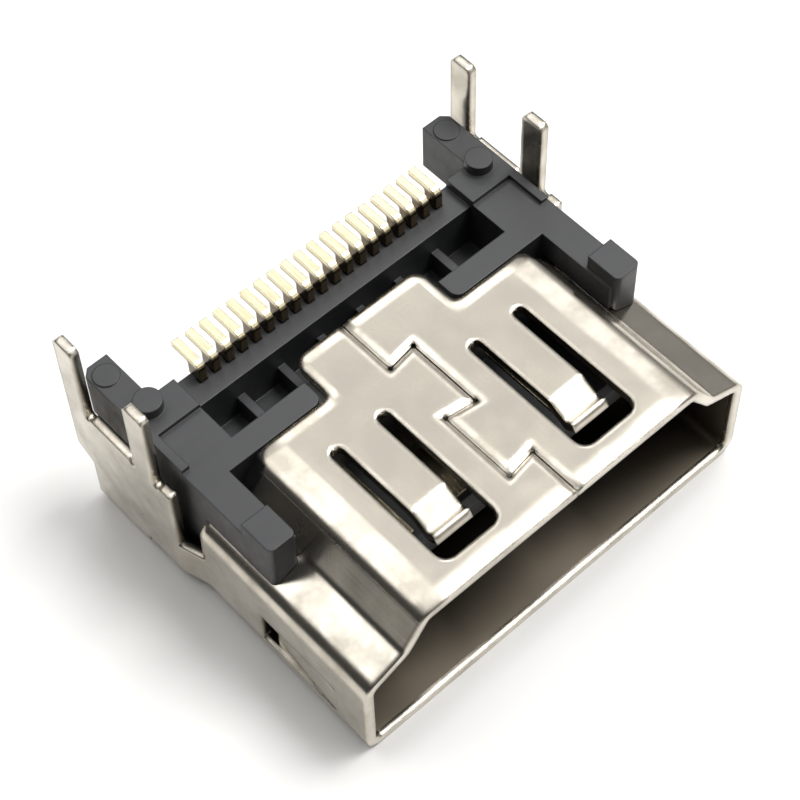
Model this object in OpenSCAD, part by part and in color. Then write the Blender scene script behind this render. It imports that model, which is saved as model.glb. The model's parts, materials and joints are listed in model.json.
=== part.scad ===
// Board socket for a 19-way audio-video plug, lying on its wide face with its board legs up.
// X runs across the mouth, Y from the mouth (-Y) to the tails (+Y), Z up. Sizes in millimetres.

/* [Shell tube] */
// Outer width over the side walls
shell_w = 14.6; // [13.8:0.1:15.6]
// Outer height from the wide face to the narrow face
shell_h = 5.15; // [4.9:0.05:5.6]
// Sheet thickness
sheet_t = 0.3; // [0.2:0.05:0.35]
// Width of the narrow face between its theoretical corners
narrow_w = 10.3; // [9.6:0.1:10.8]
// Width between the feet of the two slopes
foot_w = 11.8; // [11.4:0.1:12.2]
// Height of the slope's foot
foot_z = 4.1; // [3.9:0.05:4.3]
// Height of the ledge's outer corner
ledge_z = 3.5; // [3.2:0.05:3.7]
// Outer bend radius at the side walls
side_r = 0.6; // [0.45:0.05:0.65]
// Outer bend radius at the narrow face
crown_r = 0.5; // [0.4:0.05:0.7]
// Radius of the reversed bend at the slope's foot
foot_r = 0.25; // [0.1:0.05:0.4]
// Length of the closed tube
tube_len = 6.85; // [6.4:0.05:7.1]
// Rounding of the narrow face's rear corners
rear_r = 0.45; // [0.2:0.05:0.7]

/* [Wide face and rear tab] */
// Length of the wide face at full width
wide_len = 9.3; // [8.6:0.1:10]
// Length of the wide face's rear flap
flap_len = 1.9; // [1:0.1:2.4]
// Width of the rear flap
flap_w = 12.4; // [10:0.2:13]
// Width of the narrow face's rear tab
tab_w = 4.7; // [3.6:0.1:5.4]
// Length of the rear tab
tab_len = 1.6; // [0.8:0.1:1.9]
// Rounding of the tab's corners
tab_r = 0.4; // [0.2:0.05:0.6]
// Fillet in the notches beside the tab
notch_r = 0.3; // [0.1:0.05:0.5]

/* [Dovetail seam] */
// Width of the gap between the two edges
seam_gap = 0.05; // [0.03:0.01:0.1]
// Sideways reach of each dovetail from the middle
seam_reach = 0.5; // [0.3:0.05:0.8]
// Distance of the first jog from the mouth
seam_first = 1.7; // [1.2:0.1:2]
// Length of each dovetail
seam_pitch = 2.4; // [1.8:0.1:2.5]
// Flare of the dovetails
seam_flare = 0.07; // [0:0.01:0.12]
// Radius of the corner reliefs
seam_relief = 0.08; // [0.04:0.01:0.12]
// Width of the rolled edge on each side of the seam
seam_roll = 0.22; // [0.1:0.02:0.26]
// Depth of the rolled edges
seam_drop = 0.08; // [0.03:0.01:0.12]

/* [Spring fingers] */
// Distance of each finger's middle from the socket's middle
finger_x = 2.6; // [2.2:0.05:3]
// Width of a finger
finger_w = 1.3; // [0.9:0.05:1.6]
// Width of the slots beside a finger
slot_w = 0.42; // [0.3:0.02:0.5]
// Distance of the slots' front edge from the mouth
slot_front = 0.8; // [0.5:0.05:1.2]
// Distance of the slots' rear ends from the mouth
slot_rear = 5.5; // [4.6:0.1:5.8]
// Place where the finger bends down
finger_bend = 2.65; // [2.4:0.05:3.2]
// Run of the slope down to the contact point
finger_run = 0.72; // [0.5:0.02:0.9]
// Depth of the contact point
finger_dip = 0.36; // [0.2:0.02:0.42]
// Run of the turned-up tip
finger_tip = 0.32; // [0.2:0.02:0.4]
// Rise of the turned-up tip
finger_rise = 0.2; // [0.1:0.02:0.3]

/* [Side lances] */
// Distance of the lance's hinge from the mouth
lance_front = 1.3; // [1:0.1:1.8]
// Length of the lance's window
lance_len = 3.1; // [2:0.1:3.6]
// Height of the lance's window
lance_h = 1.3; // [0.8:0.05:1.5]
// Height of the window's lower edge
lance_z = 0.65; // [0.6:0.05:0.9]
// Gap behind the lance
lance_gap = 0.55; // [0.2:0.05:0.7]
// Cut beside the lance
lance_kerf = 0.06; // [0.04:0.01:0.1]
// Distance the lance is pressed in
lance_push = 0.14; // [0.06:0.02:0.4]

/* [Ears and board legs] */
// Outward offset of the ears
ear_jog = 0.25; // [0.1:0.05:0.35]
// Length of the slit in front of the ear
slit_len = 0.85; // [0.5:0.05:1]
// Height of the slit's bottom
slit_z = 1.9; // [1.2:0.1:2.4]
// Height of the ear
ear_h = 4.45; // [4:0.05:4.8]
// Distance of the ear's lower rear edge from the mouth
ear_end = 11.6; // [11.2:0.1:11.9]
// Height of the ear's lower edge
ear_foot = 0.25; // [0.1:0.05:0.4]
// Height where the ear steps back under the rear leg
ear_step = 2.2; // [1.8:0.1:3]
// Length of a board leg above the ear
leg_len = 2.93; // [2:0.05:4]
// Width of a board leg
leg_w = 0.8; // [0.5:0.05:1]
// Spacing of the two legs of an ear
leg_pitch = 3.03; // [2.6:0.05:3.1]
// Distance of the rear leg's middle from the mouth
leg_rear = 11.85; // [11.6:0.05:12.1]
// Corner cut at the leg's tip
leg_tip = 0.12; // [0.05:0.01:0.2]
// Radius of the reliefs beside a leg
leg_relief = 0.13; // [0.08:0.01:0.18]

/* [Housing] */
// Clearance between housing and shell
housing_fit = 0.03; // [0.02:0.01:0.08]
// Gap between the tube's rear edge and the housing's rear body
tube_gap = 0.1; // [0.05:0.01:0.2]
// Length of the core inside the tube
core_len = 1.0; // [0.6:0.1:1.3]
// Height of the board seat over the narrow face
seat_rise = 0.4; // [0.3:0.05:0.6]
// Height of the pegs and end blocks
peg_h = 0.35; // [0.2:0.05:0.5]
// Diameter of the rear pegs
peg_d = 0.85; // [0.5:0.05:1]
// Distance of a peg's middle from the housing's outer side
peg_in = 0.68; // [0.6:0.02:0.9]
// Distance of the pegs from the mouth
peg_y = 10.0; // [9.7:0.05:10.3]
// Depth of the shallow panels
panel_depth = 0.15; // [0.05:0.01:0.25]
// Distance of the panels' rear edge from the mouth
panel_end = 9.1; // [8.6:0.05:9.3]
// Width of the rim outside the panels
panel_rim = 0.28; // [0.15:0.01:0.4]
// Distance of the arms' rear ends from the mouth
arm_end = 12.2; // [11.6:0.1:12.6]
// Width of an arm
arm_w = 0.92; // [0.6:0.02:1.2]
// Height of an arm
arm_h = 1.75; // [1.2:0.05:2.4]
// Corner cut at the arm's end
arm_cut = 0.22; // [0.1:0.02:0.35]
// Distance of the shoulders' rear edge from the mouth
shoulder_end = 10.25; // [10.1:0.05:10.6]
// Diameter of the round gate mark on an arm
gate_d = 0.8; // [0.4:0.05:0.84]
// Height of the gate mark
gate_h = 0.04; // [0.02:0.01:0.08]

/* [Wings] */
// Distance of the wings' front ends from the mouth
wing_front = 4.0; // [3.6:0.1:4.6]
// Gap between a wing and the slope's foot
wing_gap = 0.05; // [0.02:0.01:0.2]
// Length of the raised end blocks
block_len = 1.2; // [0.8:0.1:1.6]
// Width of the raised end blocks
block_w = 0.92; // [0.6:0.02:0.98]
// Rounding of the end block's corners
block_r = 0.18; // [0.08:0.02:0.3]

/* [Trench and comb] */
// Distance of the trench's front edge from the mouth
trench_front = 7.75; // [7.5:0.05:8]
// Length of the trench
trench_len = 1.45; // [1:0.05:1.6]
// Width of the trench
trench_w = 10.4; // [9.8:0.1:10.8]
// Height of the pockets' floor
pocket_z = 3.25; // [3.2:0.05:3.8]
// Height of the ribs
rib_z = 4.05; // [3.7:0.05:4.4]
// Thickness of the ribs
rib_t = 0.28; // [0.16:0.02:0.4]
// Spacing of the ribs
rib_pitch = 1.5; // [1.2:0.05:1.6]
// Number of ribs
rib_count = 6; // [2:1:6]
// Reach of the block under the comb bar beyond the trench
bar_side = 0.4; // [0.2:0.05:0.6]
// Drop of the comb bar below the arms
bar_drop = 0.3; // [0.1:0.05:0.5]
// Rounding of the bars' corners beside the rear tab
bar_r = 0.3; // [0.1:0.05:0.45]
// Gap between the rear tab and the bars beside it
tab_gap = 0.2; // [0.1:0.05:0.3]

/* [Tongue] */
// Distance of the tongue's front edge from the mouth
tongue_front = 2.6; // [2.2:0.1:3.2]
// Width of the tongue
tongue_w = 11; // [10.4:0.1:11.4]
// Thickness of the tongue
tongue_t = 1.1; // [0.9:0.05:1.3]
// Height of the tongue's middle
tongue_z = 2.5; // [2.3:0.05:2.6]
// Corner cut at the tongue's front edge
tongue_cut = 0.2; // [0.1:0.02:0.3]

/* [Contacts] */
// Number of contacts
contact_count = 19; // [5:2:19]
// Spacing of the tails
contact_pitch = 0.5; // [0.45:0.01:0.52]
// Thickness of the contact strip
contact_t = 0.2; // [0.12:0.01:0.22]
// Width of the contact arm on the tongue
contact_arm_w = 0.44; // [0.36:0.02:0.6]
// Width of the riser and the tail
tail_w = 0.25; // [0.18:0.01:0.28]
// Height of the contact arm over the tongue's face
contact_proud = 0.05; // [0.02:0.01:0.1]
// Distance of the arm's tip from the tongue's front edge
contact_tip = 0.4; // [0.3:0.05:0.8]
// Outer radius of the hidden bend at the riser's foot
contact_r = 0.32; // [0.26:0.02:0.4]
// Rounding from the riser's front to the tail
crest_r = 0.28; // [0.15:0.01:0.45]
// Distance of the risers behind the trench
riser_in = 0.6; // [0.5:0.05:0.75]
// Depth of the risers' shoulders, which sit on the comb bar
riser_run = 0.5; // [0.42:0.02:0.6]
// Height of the tails over the board seat
tail_rise = 0.1; // [0:0.02:0.14]
// Length of the tail behind the comb bar
tail_len = 0.75; // [0.4:0.05:0.95]
// Clearance round a contact in the housing
contact_fit = 0.01; // [0.01:0.005:0.03]

/* [Hidden] */
$fn = 64;
eps = 0.05;
total_len = leg_rear + leg_w / 2;
seat_z = shell_h + seat_rise;
arm_z = seat_z - peg_h;
panel_z = arm_z - panel_depth;
bar_z = arm_z - bar_drop;
body_x = shell_w / 2 - sheet_t - housing_fit;
body_z = sheet_t + housing_fit;
body_front = tube_len + tube_gap;
bar_front = trench_front + trench_len;
riser_y = bar_front + riser_in;
riser_end = riser_y + riser_run;
tail_end = shoulder_end + tail_len;
tail_z = seat_z + tail_rise;
ear_x = shell_w / 2 + ear_jog;
ear_front = tube_len + slit_len;
ramp_turn = atan2(ear_jog, slit_len);
leg_top = ear_h + leg_len;
leg_front = leg_rear - leg_pitch;
wing_in = foot_w / 2 + wing_gap;
tab_end = tube_len + tab_len;
finger_low = finger_bend - finger_run;
tongue_top = tongue_z + tongue_t / 2;
tongue_low = tongue_z - tongue_t / 2;

// Corners and bend radii of the shell's outer profile, counter-clockwise in X and Z
shell_pts = [[-shell_w / 2, 0], [shell_w / 2, 0], [shell_w / 2, ledge_z], [foot_w / 2, foot_z],
    [narrow_w / 2, shell_h], [-narrow_w / 2, shell_h], [-foot_w / 2, foot_z], [-shell_w / 2, ledge_z]];
shell_radii = [side_r, side_r, side_r, -foot_r, crown_r, crown_r, -foot_r, side_r];

function two_digits(i) = i < 10 ? str("0", i) : str(i);
function contact_name(i) = str("contact_", two_digits(i));
function contact_x(i) = (i - (contact_count + 1) / 2) * contact_pitch;
function unit(v) = v / norm(v);
function left_of(v) = [-v[1], v[0]];
function crossing(p, u, q, v) = p + u * cross(q - p, v) / cross(u, v);
function direction(pts, i) = unit(pts[(i + 1) % len(pts)] - pts[i % len(pts)]);

// Corner points with every edge moved inwards by d
function inset(pts, d) = [for (i = [0 : len(pts) - 1])
    let (u = direction(pts, i + len(pts) - 1), v = direction(pts, i))
    crossing(pts[i] + d * left_of(u), u, pts[i] + d * left_of(v), v)];

// The sliver between a corner and its bend arc
module corner_sliver(pts, i, r) {
    u = direction(pts, i + len(pts) - 1);
    v = direction(pts, i);
    turn = atan2(cross(u, v), u * v);
    reach = abs(r) * tan(abs(turn) / 2);
    difference() {
        polygon([pts[i], pts[i] - u * reach, pts[i] + v * reach]);
        translate(pts[i] - u * reach + sign(turn) * abs(r) * left_of(u)) circle(abs(r));
    }
}

// A polygon with its corners rounded; a negative radius marks an inner corner
module bent_profile(pts, radii) {
    difference() {
        polygon(pts);
        for (i = [0 : len(pts) - 1]) if (radii[i] > 0) corner_sliver(pts, i, radii[i]);
    }
    for (i = [0 : len(pts) - 1]) if (radii[i] < 0) corner_sliver(pts, i, radii[i]);
}

// The shell's profile with its surface moved inwards by d
module shell_profile(d) {
    bent_profile(inset(shell_pts, d), [for (r = shell_radii) r - d]);
}

// Extrudes an X-Z profile from y0 to y1
module along_y(y0, y1) {
    translate([0, y1, 0]) rotate([90, 0, 0]) linear_extrude(y1 - y0) children();
}

// Extrudes a Y-Z profile from x0 to x1
module along_x(x0, x1) {
    translate([x0, 0, 0]) rotate([90, 0, 90]) linear_extrude(x1 - x0) children();
}

module both_sides() {
    children();
    mirror([1, 0, 0]) children();
}

module box(x0, x1, y0, y1, z0, z1) {
    translate([x0, y0, z0]) cube([x1 - x0, y1 - y0, z1 - z0]);
}

// Side wall and bend of the rear part, outer face at x = 0
module side_strip(length, top) {
    along_y(0, length) {
        translate([-sheet_t, side_r]) square([sheet_t, top - side_r]);
        translate([-side_r - 2 * eps, 0]) square([2 * eps, sheet_t]);
        difference() {
            intersection() {
                translate([-side_r, side_r]) circle(side_r);
                translate([-side_r, 0]) square(side_r);
            }
            translate([-side_r, side_r]) circle(side_r - sheet_t);
        }
    }
}

// Space behind (side = 1) or before (side = -1) the mitre at p, between a straight wall and the ramp
module mitre(p, side) {
    translate([p[0], p[1], -eps]) rotate([0, 0, -ramp_turn / 2])
        translate([-tube_len, side > 0 ? 0 : -tube_len, 0]) cube([2 * tube_len, tube_len, shell_h]);
}

// Wall and bend from the tube's end to the ear, stepping out along a mitred ramp
module ramped_wall() {
    p = [shell_w / 2, tube_len];
    q = [ear_x, ear_front];
    intersection() {
        translate([p[0], p[1], 0]) side_strip(side_r, slit_z);
        mitre(p, -1);
    }
    intersection() {
        translate([p[0], p[1], 0]) rotate([0, 0, -ramp_turn])
            translate([0, -side_r, 0]) side_strip(norm(q - p) + 2 * side_r, slit_z);
        mitre(p, 1);
        mitre(q, -1);
    }
    intersection() {
        translate([q[0], q[1] - side_r, 0]) side_strip(wide_len - ear_front + side_r, slit_z);
        mitre(q, 1);
    }
}

// One straight cut of the seam
module seam_cut(p, q) {
    translate(p) rotate(atan2(q[1] - p[1], q[0] - p[0]))
        translate([-seam_gap / 2, -seam_gap / 2]) square([norm(q - p) + seam_gap, seam_gap]);
}

// Rolled-over edges along one straight cut, between the mitre planes at its ends
module seam_rolls(p, q, turn_p, turn_q) {
    reach = 4 * seam_roll;
    intersection() {
        translate([p[0], p[1], shell_h]) rotate(atan2(q[1] - p[1], q[0] - p[0]))
            along_x(-reach, norm(q - p) + reach)
            polygon([[0, -seam_drop], [2 * seam_roll, seam_drop], [-2 * seam_roll, seam_drop]]);
        translate([p[0], p[1], 0]) rotate(turn_p) translate([0, -tab_end, 0]) cube(2 * tab_end);
        translate([q[0], q[1], 0]) rotate(turn_q) translate([-2 * tab_end, -tab_end, 0]) cube(2 * tab_end);
    }
}

module seam() {
    jogs = [for (n = [0 : 2]) seam_first + n * seam_pitch];
    path = [[seam_reach, -eps],
        [seam_reach, jogs[0] + seam_flare], [-seam_reach, jogs[0] - seam_flare],
        [-seam_reach, jogs[1] + seam_flare], [seam_reach, jogs[1] - seam_flare],
        [seam_reach, jogs[2] + seam_flare], [-seam_reach, jogs[2] - seam_flare],
        [-seam_reach, tab_end + eps]];
    runs = [for (n = [0 : len(path) - 2]) unit(path[n + 1] - path[n])];
    mitres = [runs[0], for (n = [1 : len(runs) - 1]) runs[n - 1] + runs[n], runs[len(runs) - 1]];
    turns = [for (m = mitres) atan2(m[1], m[0])];
    for (n = [0 : len(path) - 2]) seam_rolls(path[n], path[n + 1], turns[n], turns[n + 1]);
    translate([0, 0, shell_h - 2 * sheet_t]) linear_extrude(3 * sheet_t) {
        for (n = [0 : len(path) - 2]) seam_cut(path[n], path[n + 1]);
        for (n = [1 : len(path) - 2]) translate(path[n]) circle(seam_relief);
    }
}

// Window and slots round one finger
module finger_window() {
    x0 = finger_x - finger_w / 2 - slot_w;
    x1 = finger_x + finger_w / 2 + slot_w;
    translate([0, 0, shell_h - 2 * sheet_t]) linear_extrude(3 * sheet_t) {
        for (x = [x0, x1 - slot_w]) {
            translate([x, finger_bend]) square([slot_w, slot_rear - slot_w / 2 - finger_bend]);
            translate([x + slot_w / 2, slot_rear - slot_w / 2]) circle(slot_w / 2);
        }
        translate([x0, slot_front + slot_w]) square([x1 - x0, finger_bend - slot_front - slot_w]);
        translate([x0 + slot_w, slot_front]) square([x1 - x0 - 2 * slot_w, 2 * slot_w]);
        for (x = [x0 + slot_w, x1 - slot_w]) translate([x, slot_front + slot_w]) circle(slot_w);
    }
}

// One straight run of a bent finger between two points of its middle line
module finger_run_bar(p, q) {
    translate(p) rotate(atan2(q[1] - p[1], q[0] - p[0]))
        translate([0, -sheet_t / 2]) square([norm(q - p), sheet_t]);
}

module finger_end() {
    mid = shell_h - sheet_t / 2;
    path = [[finger_bend + eps, mid], [finger_bend, mid], [finger_low, mid - finger_dip],
        [finger_low - finger_tip, mid - finger_dip + finger_rise]];
    along_x(finger_x - finger_w / 2, finger_x + finger_w / 2) {
        for (n = [0 : len(path) - 2]) finger_run_bar(path[n], path[n + 1]);
        for (n = [1 : len(path) - 2]) translate(path[n]) circle(sheet_t / 2);
    }
}

// Lance of the right side wall, turned in about its front end
module lance() {
    length = lance_len - lance_gap;
    translate([shell_w / 2 - sheet_t / 2, lance_front, lance_z + lance_kerf])
        rotate([0, 0, asin(lance_push / length)])
        translate([-sheet_t / 2, -eps, 0]) cube([sheet_t, length + eps, lance_h - 2 * lance_kerf]);
}

// Ear plate of the right side with its two legs
module ear() {
    legs = [leg_front, leg_rear];
    along_x(ear_x - sheet_t, ear_x) difference() {
        union() {
            translate([ear_front, side_r]) square([wide_len - ear_front, ear_h - side_r]);
            translate([wide_len - eps, ear_foot]) square([ear_end - wide_len + eps, ear_h - ear_foot]);
            polygon([[ear_end - eps, ear_step - leg_w / 2], [ear_end, ear_step - leg_w / 2],
                [total_len, ear_step], [total_len, ear_h], [ear_end - eps, ear_h]]);
            for (y = legs) polygon([[y - leg_w / 2, ear_h - eps], [y + leg_w / 2, ear_h - eps],
                [y + leg_w / 2, leg_top - leg_tip], [y + leg_w / 2 - leg_tip, leg_top],
                [y - leg_w / 2 + leg_tip, leg_top], [y - leg_w / 2, leg_top - leg_tip]]);
        }
        for (y = [leg_front - leg_w / 2 - leg_relief, leg_front + leg_w / 2 + leg_relief,
            leg_rear - leg_w / 2 - leg_relief]) translate([y, ear_h]) circle(leg_relief);
    }
}

module rear_tab() {
    translate([0, 0, shell_h - sheet_t]) linear_extrude(sheet_t) {
        translate([-tab_w / 2, tube_len - 2 * eps]) square([tab_w, tab_len - tab_r + 2 * eps]);
        translate([-tab_w / 2 + tab_r, tube_len]) square([tab_w - 2 * tab_r, tab_len]);
        for (x = [-1, 1]) {
            translate([x * (tab_w / 2 - tab_r), tab_end - tab_r]) circle(tab_r);
            difference() {
                translate([x * (tab_w + notch_r) / 2, tube_len + (notch_r - eps) / 2])
                    square([notch_r + eps, notch_r + eps], center = true);
                translate([x * (tab_w / 2 + notch_r), tube_len + notch_r]) circle(notch_r);
            }
        }
    }
}

module wide_face() {
    flat_x = shell_w / 2 - side_r;
    lag = side_r * tan(ramp_turn / 2);
    linear_extrude(sheet_t) {
        polygon([[-flat_x, tube_len - eps], [flat_x, tube_len - eps], [flat_x, tube_len + lag],
            [flat_x + ear_jog, ear_front + lag], [flat_x + ear_jog, wide_len], [-flat_x - ear_jog, wide_len],
            [-flat_x - ear_jog, ear_front + lag], [-flat_x, tube_len + lag]]);
        translate([-flap_w / 2, wide_len - eps]) square([flap_w, flap_len + eps]);
    }
}

module shell() {
    color("#B4AFA4") {
        difference() {
            union() {
                along_y(0, tube_len) difference() {
                    shell_profile(0);
                    shell_profile(sheet_t);
                }
                rear_tab();
            }
            seam();
            both_sides() finger_window();
            both_sides() box(shell_w / 2 - 2 * sheet_t, shell_w / 2 + sheet_t, lance_front,
                lance_front + lance_len, lance_z, lance_z + lance_h);
            both_sides() difference() {
                box(narrow_w / 2 - rear_r, (foot_w + shell_w) / 4, tube_len - rear_r, tube_len + eps,
                    ledge_z - sheet_t, 2 * shell_h);
                translate([narrow_w / 2 - rear_r, tube_len - rear_r, 0])
                    cylinder(r = rear_r, h = 3 * shell_h);
            }
        }
        both_sides() {
            finger_end();
            lance();
            ear();
            ramped_wall();
        }
        wide_face();
    }
}

// Space that one contact takes, grown by g on every side
module contact_shape(i, g) {
    x = contact_x(i);
    level = i % 2 == 0 ? tongue_top + contact_proud - contact_t : tongue_low - contact_proud;
    strip_end = riser_y + contact_t;
    shoulder_z = bar_z + 2 * contact_fit;
    blank = [[bar_front - eps, level], [strip_end, level], [strip_end, shoulder_z], [riser_end, shoulder_z],
        [riser_end, tail_z - contact_t], [tail_end, tail_z - contact_t], [tail_end, tail_z], [riser_y, tail_z],
        [riser_y, level + contact_t], [bar_front - eps, level + contact_t]];
    radii = [0, contact_r, 0, 0, -contact_t / 2, 0, 0, crest_r, contact_t - contact_r, 0];
    box(x - contact_arm_w / 2 - g, x + contact_arm_w / 2 + g, tongue_front + contact_tip - g, bar_front + g,
        level - g, level + contact_t + g);
    along_x(x - tail_w / 2 - g, x + tail_w / 2 + g)
        bent_profile(inset(blank, -g), [for (r = radii) r == 0 ? 0 : r + g]);
}

module contact(i) {
    color("#D9C27A") contact_shape(i, 0);
}

// Wing that lies on one ledge, with its raised end block
module wing() {
    block_y = wing_front + block_len;
    difference() {
        union() {
            box(wing_in, body_x, wing_front + block_r, body_front + eps, ledge_z - sheet_t, panel_z);
            translate([0, 0, ledge_z - sheet_t]) linear_extrude(seat_z - ledge_z + sheet_t) {
                translate([body_x - block_w, wing_front + block_r]) square([block_w, block_len - block_r]);
                translate([body_x - block_w + block_r, wing_front])
                    square([block_w - 2 * block_r, block_len]);
                for (x = [body_x - block_w + block_r, body_x - block_r])
                    translate([x, wing_front + block_r]) circle(block_r);
            }
        }
        along_y(0, body_front - eps) shell_profile(-housing_fit);
    }
}

// Rear arm with its gate mark
module arm() {
    x0 = body_x - arm_w;
    translate([0, 0, arm_z - arm_h]) linear_extrude(arm_h) {
        polygon([[x0, shoulder_end - eps], [body_x, shoulder_end - eps], [body_x, arm_end - arm_cut],
            [body_x - arm_cut, arm_end], [x0, arm_end]]);
    }
    translate([body_x - arm_w / 2, arm_end - arm_w / 2 - arm_cut / 2, arm_z - eps])
        cylinder(d = gate_d, h = gate_h + eps);
}

// Cross-section of the rear body with its lower corners cut to clear the bends
module body_profile(top) {
    polygon([[-body_x + side_r, body_z], [body_x - side_r, body_z], [body_x, body_z + side_r], [body_x, top],
        [-body_x, top], [-body_x, body_z + side_r]]);
}

module tongue() {
    along_x(-tongue_w / 2, tongue_w / 2) polygon([[tongue_front + tongue_cut, tongue_low],
        [tube_len, tongue_low], [tube_len, tongue_top], [tongue_front + tongue_cut, tongue_top],
        [tongue_front, tongue_top - tongue_cut], [tongue_front, tongue_low + tongue_cut]]);
}

module housing() {
    color("#2E2F31") difference() {
        union() {
            along_y(tube_len - core_len, body_front + eps) intersection() {
                shell_profile(sheet_t + housing_fit);
                translate([-shell_w / 2, 0]) square([shell_w, shell_h - sheet_t - housing_fit]);
            }
            along_y(body_front, bar_front) body_profile(arm_z);
            box(-trench_w / 2 - bar_side, trench_w / 2 + bar_side, bar_front - eps, shoulder_end, body_z,
                bar_z);
            both_sides() {
                box(trench_w / 2, body_x, bar_front - eps, shoulder_end, arm_z - arm_h, arm_z);
                arm();
                wing();
                translate([body_x - peg_in, peg_y, arm_z - eps]) cylinder(d = peg_d, h = peg_h + eps);
            }
            tongue();
        }
        // front part of the top, one panel depth lower than the arms
        box(-body_x + panel_rim, body_x - panel_rim, body_front - 2 * eps, panel_end, panel_z, seat_z);
        both_sides() box(body_x - 2 * panel_rim, body_x + eps, body_front - 2 * eps, trench_front, panel_z,
            seat_z);
        // place of the rear tab, with the bars beside it rounded in front
        translate([0, body_front, shell_h - sheet_t - housing_fit]) linear_extrude(seat_z) {
            translate([-tab_w / 2 - tab_gap, -2 * eps])
                square([tab_w + 2 * tab_gap, trench_front - body_front + 3 * eps]);
            for (x = [-1, 1]) translate([x * (tab_w / 2 + tab_gap), 0]) difference() {
                translate([0, bar_r / 2 - eps]) square([2 * bar_r, bar_r + 2 * eps], center = true);
                translate([x * bar_r, bar_r]) circle(bar_r);
            }
        }
        // trench with its ribs
        difference() {
            box(-trench_w / 2, trench_w / 2, trench_front, bar_front, pocket_z, seat_z);
            for (n = [0 : rib_count - 1]) {
                x = (n - (rib_count - 1) / 2) * rib_pitch;
                box(x - rib_t / 2, x + rib_t / 2, trench_front - eps, bar_front + eps, 0, rib_z);
            }
        }
        // comb bar's top
        box(-trench_w / 2, trench_w / 2, bar_front - 2 * eps, shoulder_end + eps, bar_z, seat_z);
        for (i = [1 : contact_count]) contact_shape(i, contact_fit);
    }
}

translate([0, -total_len / 2, 0]) {
    shell();
    housing();
    for (i = [1 : contact_count]) contact(i);
}
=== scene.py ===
"""Board socket for an audio-video plug, lying on a white table with its board legs up.

A black moulding, nineteen gold contacts and a folded nickel shell get their materials, light and camera.
"""
import json
import math

import bpy
from mathutils import Matrix, Vector

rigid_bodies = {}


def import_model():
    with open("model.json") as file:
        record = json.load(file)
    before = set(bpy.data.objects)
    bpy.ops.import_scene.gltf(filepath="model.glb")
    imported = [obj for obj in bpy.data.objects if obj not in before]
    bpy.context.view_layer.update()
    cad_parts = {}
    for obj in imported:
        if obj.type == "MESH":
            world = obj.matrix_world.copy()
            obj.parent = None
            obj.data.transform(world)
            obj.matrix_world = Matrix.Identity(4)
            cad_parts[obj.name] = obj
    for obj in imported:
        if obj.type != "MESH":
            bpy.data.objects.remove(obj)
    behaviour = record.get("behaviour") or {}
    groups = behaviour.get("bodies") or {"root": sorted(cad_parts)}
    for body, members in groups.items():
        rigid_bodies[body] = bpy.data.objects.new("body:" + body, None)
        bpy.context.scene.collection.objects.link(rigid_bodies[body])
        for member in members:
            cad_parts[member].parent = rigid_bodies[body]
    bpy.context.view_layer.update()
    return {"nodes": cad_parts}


for leftover in list(bpy.data.objects):
    bpy.data.objects.remove(leftover)
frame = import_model()


# Housing: one black moulding with the tongue, the rear arms, the ribbed trench and the comb bar.
# Glass-filled liquid crystal polymer, injection moulded in a spark-eroded tool, pushed into the shell
# from behind until its wings lie on the shell's ledges.
MM = 0.001


def linear(code):
    """A colour written as sRGB hex, as the linear values that a shader takes."""
    parts = [int(code[i:i + 2], 16) / 255 for i in (1, 3, 5)]
    return [p / 12.92 if p <= 0.04045 else ((p + 0.055) / 1.055) ** 2.4 for p in parts] + [1.0]


def add(tree, kind, settings=None, links=None):
    """Adds a node, sets its properties and sockets, and links the sockets named in links."""
    made = tree.nodes.new(kind)
    for key, value in (settings or {}).items():
        if isinstance(key, str) and key not in made.inputs:
            setattr(made, key, value)
        else:
            made.inputs[key].default_value = value
    for key, (source, output) in (links or {}).items():
        tree.links.new(source.outputs[output], made.inputs[key])
    return made


# Moulded liquid crystal polymer: near black, matt, with faint flow streaks along the way the melt ran and a
# fine spark-eroded grain. The edges are rounded by about 0.06 mm, as the tool leaves them.
streak_x, streak_y, streak_z = 1.6 * MM, 0.45 * MM, 0.9 * MM
grain_width, grain_depth = 0.11 * MM, 0.004 * MM
mould_edge = 0.06 * MM
polymer = bpy.data.materials.new("liquid_crystal_polymer_spark_grain")
polymer.use_nodes = True
tree = polymer.node_tree
tree.nodes.clear()
place = add(tree, "ShaderNodeTexCoord")
flow_way = add(tree, "ShaderNodeMapping", {"Scale": (1 / streak_x, 1 / streak_y, 1 / streak_z)},
               {"Vector": (place, "Object")})
flow = add(tree, "ShaderNodeTexNoise", {"Scale": 1.0, "Detail": 4.0, "Roughness": 0.6},
           {"Vector": (flow_way, 0)})
grain = add(tree, "ShaderNodeTexNoise", {"Scale": 1 / grain_width, "Detail": 2.0},
            {"Vector": (place, "Object")})
tone = add(tree, "ShaderNodeMix", {"data_type": "RGBA", 6: linear("#202123"), 7: linear("#2C2D2F")},
           {0: (flow, 0)})
dull = add(tree, "ShaderNodeMapRange", {"From Min": 0.3, "From Max": 0.7, "To Min": 0.4, "To Max": 0.56},
           {"Value": (flow, 0)})
soft_edge = add(tree, "ShaderNodeBevel", {"samples": 6, "Radius": mould_edge})
relief = add(tree, "ShaderNodeBump", {"Strength": 0.6, "Distance": grain_depth},
             {"Height": (grain, 0), "Normal": (soft_edge, 0)})
skin = add(tree, "ShaderNodeBsdfPrincipled", {"IOR": 1.62},
           {"Base Color": (tone, 2), "Roughness": (dull, 0), "Normal": (relief, 0)})
add(tree, "ShaderNodeOutputMaterial", links={"Surface": (skin, 0)})
frame["nodes"]["housing"].data.materials[0] = polymer


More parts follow.
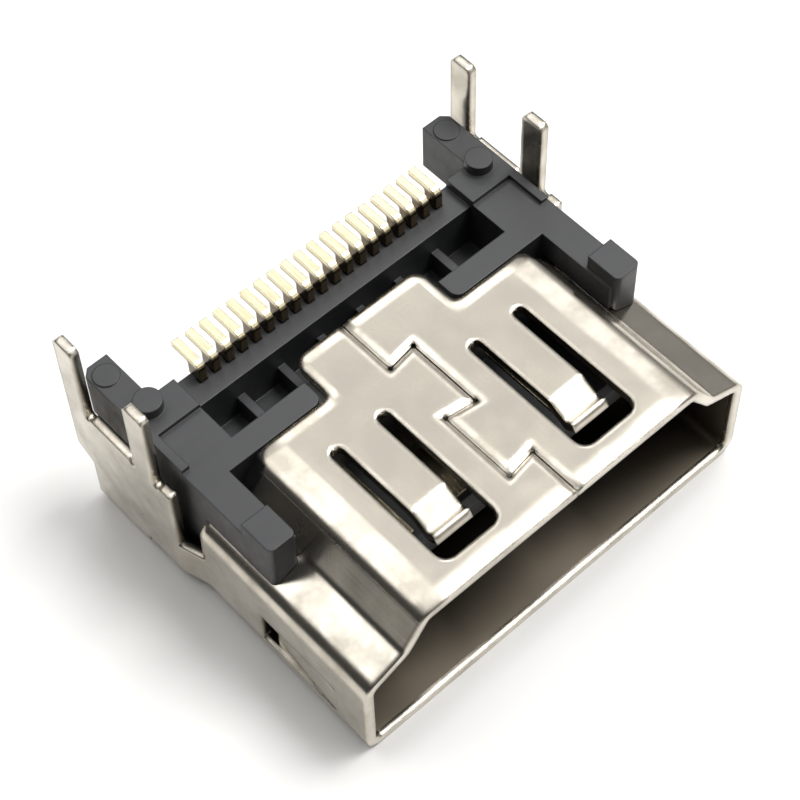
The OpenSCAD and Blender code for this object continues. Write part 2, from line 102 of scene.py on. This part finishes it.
# Contacts: nineteen strips, stamped from copper alloy, bent up through the comb bar and pressed into the
# housing from behind. Their arms lie on the two faces of the tongue, and their tails stand in one row.
# Thin gold plate over nickel: pale and smooth, with faint draw lines along the strip.
line_x, line_y, line_z = 0.05 * MM, 0.9 * MM, 0.3 * MM
line_depth = 0.002 * MM
strip_edge = 0.05 * MM
gold = bpy.data.materials.new("thin_gold_plate_on_stamped_strip")
gold.use_nodes = True
tree = gold.node_tree
tree.nodes.clear()
place = add(tree, "ShaderNodeTexCoord")
strip_way = add(tree, "ShaderNodeMapping", {"Scale": (1 / line_x, 1 / line_y, 1 / line_z)},
                {"Vector": (place, "Object")})
draw_lines = add(tree, "ShaderNodeTexNoise", {"Scale": 1.0, "Detail": 3.0}, {"Vector": (strip_way, 0)})
plate = add(tree, "ShaderNodeMix", {"data_type": "RGBA", 6: linear("#EEDFB2"), 7: linear("#F7EDD0")},
            {0: (draw_lines, 0)})
# the risers between the housing and the tails get a dark brown in place of the gold: painted shade, standing
# for the shade and the dark reflections they lie in
riser_shade_from, riser_shade_full, riser_shade_foot = 5.62 * MM, 5.4 * MM, 4.5 * MM
soft_step = {"interpolation_type": "SMOOTHSTEP"}
along = add(tree, "ShaderNodeSeparateXYZ", links={"Vector": (place, "Object")})
under_tail = add(tree, "ShaderNodeMapRange", soft_step | {"From Min": riser_shade_from, "From Max": riser_shade_full},
                 {"Value": (along, "Z")})
over_tongue = add(tree, "ShaderNodeMath", {"operation": "GREATER_THAN", 1: riser_shade_foot}, {0: (along, "Z")})
painted_riser_shade = add(tree, "ShaderNodeMath", {"operation": "MULTIPLY"}, {0: (under_tail, 0), 1: (over_tongue, 0)})
# painted shade: the risers' gold is mixed to dark brown
tone = add(tree, "ShaderNodeMix", {"data_type": "RGBA", 7: linear("#5C4C31")}, {0: (painted_riser_shade, 0), 6: (plate, 2)})
sheen = add(tree, "ShaderNodeMapRange", {"From Min": 0.3, "From Max": 0.7, "To Min": 0.2, "To Max": 0.28},
            {"Value": (draw_lines, 0)})
soft_edge = add(tree, "ShaderNodeBevel", {"samples": 6, "Radius": strip_edge})
relief = add(tree, "ShaderNodeBump", {"Strength": 0.2, "Distance": line_depth},
             {"Height": (draw_lines, 0), "Normal": (soft_edge, 0)})
skin = add(tree, "ShaderNodeBsdfPrincipled", {"Metallic": 1.0},
           {"Base Color": (tone, 2), "Roughness": (sheen, 0), "Normal": (relief, 0)})
add(tree, "ShaderNodeOutputMaterial", links={"Surface": (skin, 0)})
for name, strip in frame["nodes"].items():
    if name.startswith("contact_"):
        strip.data.materials[0] = gold


# Shell: one sheet of copper alloy, punched, folded to a D-shaped tube and locked by the dovetails of its
# seam. The springs, the side lances and the ears with their board legs are cut from the same sheet.
# Nickel plate on rolled sheet: a warm grey mirror blurred by the rolling, with a slow waviness from the
# press, dull patches from handling, and punched edges rolled over by about 0.2 mm, which catch the light
# as pale bands.
wave_width, wave_depth = 1.9 * MM, 0.03 * MM
patch_width = 1.1 * MM
punched_edge = 0.22 * MM
nickel = bpy.data.materials.new("nickel_plate_on_rolled_sheet")
nickel.use_nodes = True
tree = nickel.node_tree
tree.nodes.clear()
place = add(tree, "ShaderNodeTexCoord")
waves = add(tree, "ShaderNodeTexNoise", {"Scale": 1 / wave_width, "Detail": 1.0},
            {"Vector": (place, "Object")})
patches = add(tree, "ShaderNodeTexNoise", {"Scale": 1 / patch_width, "Detail": 3.0, "Roughness": 0.55},
              {"Vector": (place, "Object")})
# real rolling lines are a few hundredths of a millimetre apart; they are drawn coarser so that they show
roll_gap, roll_length, roll_depth = 0.09 * MM, 1.8 * MM, 0.0015 * MM
roll_way = add(tree, "ShaderNodeMapping", {"Scale": (1 / roll_gap, 1 / roll_length, 1 / roll_gap)},
               {"Vector": (place, "Object")})
roll_lines = add(tree, "ShaderNodeTexNoise", {"Scale": 1.0, "Detail": 2.0}, {"Vector": (roll_way, 0)})
stains = add(tree, "ShaderNodeMapRange", {"From Min": 0.36, "From Max": 0.66}, {"Value": (patches, 0)})
outside = add(tree, "ShaderNodeMix", {"data_type": "RGBA", 6: linear("#D6CFC2"), 7: linear("#B9B2A5")},
              {0: (stains, 0)})
# the plating current hardly reaches into the tube, so its inner faces, which look towards its axis, are
# duller; their colour is painted darker, and darker still with the depth behind the lip, as painted shade
# inside the tube
axis_height = 1.5 * MM
wall_middle = 7.15 * MM
lip_back = -5.92 * MM
inner_shade_front, inner_shade_rear = -6.1 * MM, -3.6 * MM
from_axis = add(tree, "ShaderNodeVectorMath", {"operation": "SUBTRACT", 1: (0, 0, axis_height)},
                {0: (place, "Object")})
outwards = add(tree, "ShaderNodeVectorMath", {"operation": "DOT_PRODUCT"},
               {0: (place, "Normal"), 1: (from_axis, 0)})
inwards = add(tree, "ShaderNodeMath", {"operation": "LESS_THAN", 1: 0.0}, {0: (outwards, "Value")})
across = add(tree, "ShaderNodeSeparateXYZ", links={"Vector": (place, "Object")})
from_middle = add(tree, "ShaderNodeMath", {"operation": "ABSOLUTE"}, {0: (across, "X")})
in_tube = add(tree, "ShaderNodeMath", {"operation": "LESS_THAN", 1: wall_middle}, {0: (from_middle, 0)})
behind_lip = add(tree, "ShaderNodeMath", {"operation": "GREATER_THAN", 1: lip_back}, {0: (across, "Y")})
in_mouth = add(tree, "ShaderNodeMath", {"operation": "MULTIPLY"}, {0: (in_tube, 0), 1: (behind_lip, 0)})
inner_face = add(tree, "ShaderNodeMath", {"operation": "MULTIPLY"}, {0: (inwards, 0), 1: (in_mouth, 0)})
painted_shade_depth = add(tree, "ShaderNodeMapRange", {"From Min": inner_shade_front, "From Max": inner_shade_rear},
            {"Value": (across, "Y")})
inside_painted_shade = add(tree, "ShaderNodeMix", {"data_type": "RGBA", 6: linear("#837A6C"), 7: linear("#322D27")},
             {0: (painted_shade_depth, 0)})
# the inner faces take the painted shade of the tube's inside
tone = add(tree, "ShaderNodeMix", {"data_type": "RGBA"},
           {0: (inner_face, 0), 6: (outside, 2), 7: (inside_painted_shade, 2)})
sheen = add(tree, "ShaderNodeMapRange", {"To Min": 0.17, "To Max": 0.28}, {"Value": (stains, 0)})
dull = add(tree, "ShaderNodeMix", {"data_type": "FLOAT", 3: 0.5}, {0: (inner_face, 0), 2: (sheen, 0)})
rolled_edge = add(tree, "ShaderNodeBevel", {"samples": 8, "Radius": punched_edge})
# the narrow face sags towards its two bends, its front lip, its rear edges and the edges of its rear tab,
# where the press drew the sheet round; the steps run on past the edges, so that the sheet still slopes there
top_from = 4.95 * MM
sag_depth = 0.11 * MM
edge_sag = 0.6
bend_from, bend_to = 4.25 * MM, 5.3 * MM
lip_from, lip_to = -5.5 * MM, -6.5 * MM
rear_from, rear_to = 0.3 * MM, 0.95 * MM
tab_side_from, tab_side_to = 2.05 * MM, 2.6 * MM
tab_end_from, tab_end_to = 1.9 * MM, 2.55 * MM
to_bends = add(tree, "ShaderNodeMapRange", soft_step | {"From Min": bend_from, "From Max": bend_to},
               {"Value": (from_middle, 0)})
to_lip = add(tree, "ShaderNodeMapRange", soft_step | {"From Min": lip_from, "From Max": lip_to,
                                                      "To Max": edge_sag}, {"Value": (across, "Y")})
to_rear = add(tree, "ShaderNodeMapRange", soft_step | {"From Min": rear_from, "From Max": rear_to,
                                                       "To Max": edge_sag}, {"Value": (across, "Y")})
beside_tab = add(tree, "ShaderNodeMapRange", soft_step | {"From Min": tab_side_from, "From Max": tab_side_to},
                 {"Value": (from_middle, 0)})
to_sides = add(tree, "ShaderNodeMath", {"operation": "MULTIPLY"}, {0: (to_rear, 0), 1: (beside_tab, 0)})
to_tab_end = add(tree, "ShaderNodeMapRange", soft_step | {"From Min": tab_end_from, "From Max": tab_end_to,
                                                          "To Max": edge_sag}, {"Value": (across, "Y")})
front_sag = add(tree, "ShaderNodeMath", {"operation": "ADD"}, {0: (to_bends, 0), 1: (to_lip, 0)})
rear_sag = add(tree, "ShaderNodeMath", {"operation": "ADD"}, {0: (to_sides, 0), 1: (to_tab_end, 0)})
sag = add(tree, "ShaderNodeMath", {"operation": "ADD"}, {0: (front_sag, 0), 1: (rear_sag, 0)})
on_top = add(tree, "ShaderNodeMath", {"operation": "GREATER_THAN", 1: top_from}, {0: (across, "Z")})
top_sag = add(tree, "ShaderNodeMath", {"operation": "MULTIPLY"}, {0: (sag, 0), 1: (on_top, 0)})
drawn = add(tree, "ShaderNodeBump", {"invert": True, "Strength": 1.0, "Distance": sag_depth},
            {"Height": (top_sag, 0), "Normal": (rolled_edge, 0)})
press_waves = add(tree, "ShaderNodeBump", {"Strength": 1.0, "Distance": wave_depth},
                  {"Height": (waves, 0), "Normal": (drawn, 0)})
relief = add(tree, "ShaderNodeBump", {"Strength": 0.4, "Distance": roll_depth},
             {"Height": (roll_lines, 0), "Normal": (press_waves, 0)})
skin = add(tree, "ShaderNodeBsdfPrincipled", {"Metallic": 1.0},
           {"Base Color": (tone, 2), "Roughness": (dull, 0), "Normal": (relief, 0)})
add(tree, "ShaderNodeOutputMaterial", links={"Surface": (skin, 0)})
frame["nodes"]["shell"].data.materials[0] = nickel


# Table: a white acrylic sheet, cast flat and lying loose, on which the socket rests with its wide face.
# Satin acrylic: white with hardly a haze in it, and matt enough to blur what it mirrors.
table_half = 0.4
haze_width = 4 * MM
table_mesh = bpy.data.meshes.new("table")
table_corners = [(x * table_half, y * table_half, 0) for x, y in ((-1, -1), (1, -1), (1, 1), (-1, 1))]
table_mesh.from_pydata(table_corners, [], [(0, 1, 2, 3)])
table = bpy.data.objects.new("table", table_mesh)
bpy.context.scene.collection.objects.link(table)
acrylic = bpy.data.materials.new("white_acrylic_sheet_satin")
acrylic.use_nodes = True
tree = acrylic.node_tree
tree.nodes.clear()
place = add(tree, "ShaderNodeTexCoord")
haze = add(tree, "ShaderNodeTexNoise", {"Scale": 1 / haze_width, "Detail": 4.0},
           {"Vector": (place, "Object")})
tone = add(tree, "ShaderNodeMix", {"data_type": "RGBA", 6: linear("#F9F8F6"), 7: linear("#F5F4F1")},
           {0: (haze, 0)})
satin = add(tree, "ShaderNodeMapRange", {"From Min": 0.3, "From Max": 0.7, "To Min": 0.33, "To Max": 0.39},
            {"Value": (haze, 0)})
skin = add(tree, "ShaderNodeBsdfPrincipled", {"IOR": 1.49},
           {"Base Color": (tone, 2), "Roughness": (satin, 0)})
add(tree, "ShaderNodeOutputMaterial", links={"Surface": (skin, 0)})
table_mesh.materials.append(acrylic)


# Light: a tent of white cloth, brightest over the right rear and dark where it is open at the left and the
# front. A softbox on the right casts the shadow, and white panels round the top give the bends and rolled
# edges of the sheet their pale bands while its flat faces stay grey.
brightest_way = Vector((0.35, 0.15, 0.92)).normalized()
world = bpy.data.worlds.new("tent")
world.use_nodes = True
bpy.context.scene.world = world
tree = world.node_tree
tree.nodes.clear()
place = add(tree, "ShaderNodeTexCoord")
lean = add(tree, "ShaderNodeVectorMath", {"operation": "DOT_PRODUCT", 1: brightest_way},
           {0: (place, "Generated")})
rise = add(tree, "ShaderNodeMapRange", soft_step | {"From Min": 0.3, "To Min": 0.06, "To Max": 0.78},
           {"Value": (lean, "Value")})
cloth = add(tree, "ShaderNodeBackground", {"Color": linear("#FFFFFF")}, {"Strength": (rise, 0)})
add(tree, "ShaderNodeOutputWorld", links={"Surface": (cloth, 0)})
box_distance = 0.25
# name: way from the socket, width and depth in metres, brightness
softboxes = {
    "key_right": ((0.46, -0.1, 0.88), 0.12, 0.12, 9.5),
    "panel_rear": ((0.0, 0.36, 0.93), 0.12, 0.12, 1.2),
    "panel_rear_left": ((-0.38, 0.42, 0.82), 0.1, 0.1, 1.7),
    "panel_rear_right": ((0.62, 0.42, 0.66), 0.08, 0.08, 1.0),
    "panel_front_right": ((0.36, -0.42, 0.83), 0.1, 0.1, 1.6),
    "panel_front": ((0.36, -0.83, 0.42), 0.14, 0.09, 1.2),
    "panel_rear_low": ((0.36, 0.67, 0.65), 0.12, 0.07, 2.4),
}
for name, (way, wide, deep, glow) in softboxes.items():
    lamp = bpy.data.lights.new(name, "AREA")
    lamp.shape = "RECTANGLE"
    lamp.size = wide
    lamp.size_y = deep
    lamp.energy = glow * math.pi * wide * deep
    box = bpy.data.objects.new(name, lamp)
    box.location = Vector(way) * box_distance
    box.rotation_euler = Vector(way).to_track_quat("Z", "Y").to_euler()
    bpy.context.scene.collection.objects.link(box)


# Camera: a short telephoto, held high over the mouth's left corner and tilted a little, as the photograph
# was taken. It looks at the middle of the socket from about 64 mm away.
turn, height, tilt = math.radians(-40.774), math.radians(56.582), math.radians(-1.929)
aim = Vector((0.103, 0.638, 2.5)) * MM
distance = 63.616 * MM
back = Vector((math.sin(turn) * math.cos(height), -math.cos(turn) * math.cos(height), math.sin(height)))
right = Vector((math.cos(turn), math.sin(turn), 0))
up = back.cross(right)
tilted_right = right * math.cos(tilt) + up * math.sin(tilt)
tilted_up = up * math.cos(tilt) - right * math.sin(tilt)
lens = bpy.data.cameras.new("camera")
lens.sensor_width = 36
lens.lens = 98.23
lens.clip_start = 0.001
camera = bpy.data.objects.new("camera", lens)
facing = Matrix((tilted_right, tilted_up, back)).transposed().to_4x4()
camera.matrix_world = Matrix.Translation(aim + back * distance) @ facing
bpy.context.scene.collection.objects.link(camera)
bpy.context.scene.camera = camera
bpy.context.scene.view_settings.view_transform = "Standard"
